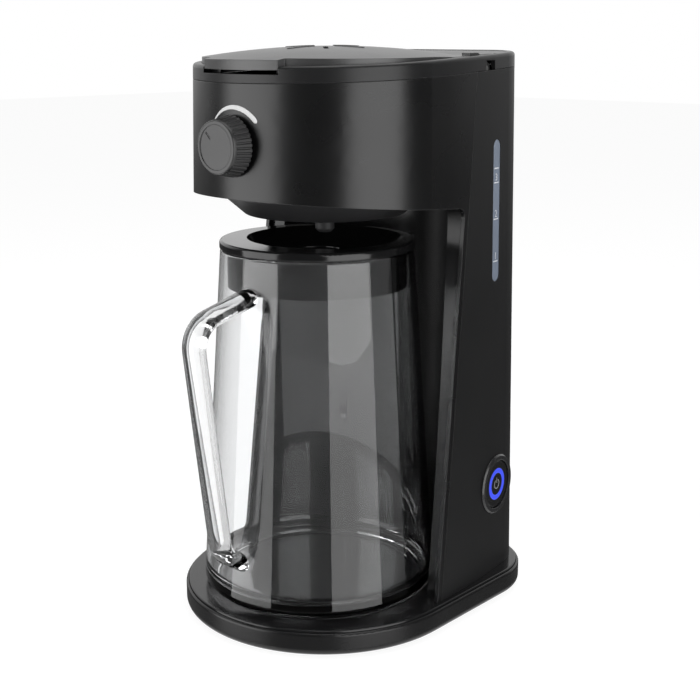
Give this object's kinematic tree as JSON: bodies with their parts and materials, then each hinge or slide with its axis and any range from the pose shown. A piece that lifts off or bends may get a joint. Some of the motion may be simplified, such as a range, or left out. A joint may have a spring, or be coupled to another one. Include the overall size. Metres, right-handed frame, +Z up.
{
  "type": "cold brew coffee maker",
  "caption": "Drip coffee and iced tea maker: leaning tower with round-fronted head, hinged lid, strength knob, side power button, sight window, and a lidded glass jug on its base.",
  "frame": {"origin": "on the table, under the middle of the footprint that runs from the front of the jug handle to the back of the base", "axes": "+Z up, front with knob and jug handle towards -Y, power button on the +X side"},
  "size_m": [0.186, 0.241, 0.3617],
  "materials": {
    "base_plastic": "satin moulded edge",
    "gloss_plastic_black": "high gloss",
    "rubber_black": "matt rubber",
    "steel": "plain",
    "satin_plastic": "satin",
    "charcoal_plastic": "fine matt grain",
    "inner_plastic": "plain moulded",
    "lid_plastic": "fine textured",
    "funnel_plastic": "satin moulded",
    "filter_mesh": "fine nylon mesh",
    "silicone_grey": "translucent silicone",
    "tank_plastic": "clear moulded",
    "window_plastic": "clear blue-grey",
    "heater_aluminium": "extruded",
    "bezel_chrome": "dark bright ring",
    "button_plastic": "gloss",
    "light_ring": "lit blue",
    "knob_plastic": "matt, ribbed",
    "clear_glass": "clear blown glass"
  },
  "bodies": {
    "machine": {"base_shell": "base_plastic", "base_deck": "gloss_plastic_black", "jug_seat": "gloss_plastic_black", "rubber_feet": "rubber_black", "base_screws": "steel", "front_housing": "satin_plastic", "rear_housing": "charcoal_plastic", "cavity_wall": "gloss_plastic_black", "head_floor": "inner_plastic", "top_rim": "satin_plastic", "rear_deck": "lid_plastic", "hinge_pins": "steel", "inner_tray": "inner_plastic", "brew_funnel": "funnel_plastic", "brew_basket": "inner_plastic", "filter_basket": "filter_mesh", "water_tank": "tank_plastic", "water_window": "window_plastic", "heater_tube": "heater_aluminium", "heater_brackets": "steel", "thermostat": "steel", "check_valve": "inner_plastic", "inlet_hose": "silicone_grey", "riser_hose": "silicone_grey", "bezel": "bezel_chrome", "switch_body": "inner_plastic", "shaft_bush": "inner_plastic", "selector_valve": "inner_plastic", "cord_gland": "rubber_black"},
    "lid": {"top_lid": "lid_plastic", "shower_head": "inner_plastic"},
    "knob": {"strength_knob": "knob_plastic", "knob_shaft": "steel"},
    "button": {"power_button": "button_plastic", "button_light_ring": "light_ring"},
    "drip_stop": {"drip_stop_valve": "silicone_grey"},
    "jug": {"jug_glass": "clear_glass"},
    "jug_cap": {"jug_lid": "gloss_plastic_black"}
  },
  "joints": [
    {"name": "lid_hinge", "type": "hinge", "parent": "machine", "child": "lid", "pos_m": [0, 0.0605, 0.3475], "axis": [-1, 0, 0], "range_deg": [0, 95]},
    {"name": "knob_turn", "type": "hinge", "parent": "machine", "child": "knob", "pos_m": [0, -0.09, 0.305], "axis": [0, 1, 0], "range_deg": [0, 90]},
    {"name": "button_press", "type": "slide", "parent": "machine", "child": "button", "axis": [-0.9917, -0.1283, 0], "range_m": [0, 0.0025], "stiffness_N_per_m": 800, "springref_m": -0.001},
    {"name": "drip_stop_lift", "type": "slide", "parent": "machine", "child": "drip_stop", "axis": [0, 0, 1], "range_m": [0, 0.004], "stiffness_N_per_m": 150, "springref_m": -0.002},
    {"name": "jug_slide", "type": "slide", "parent": "machine", "child": "jug", "axis": [0, -1, 0], "range_m": [0, 0.27]},
    {"name": "jug_lid_turn", "type": "hinge", "parent": "jug", "child": "jug_cap", "pos_m": [0, -0.0095, 0.24], "axis": [0, 0, 1], "continuous": true}
  ]
}
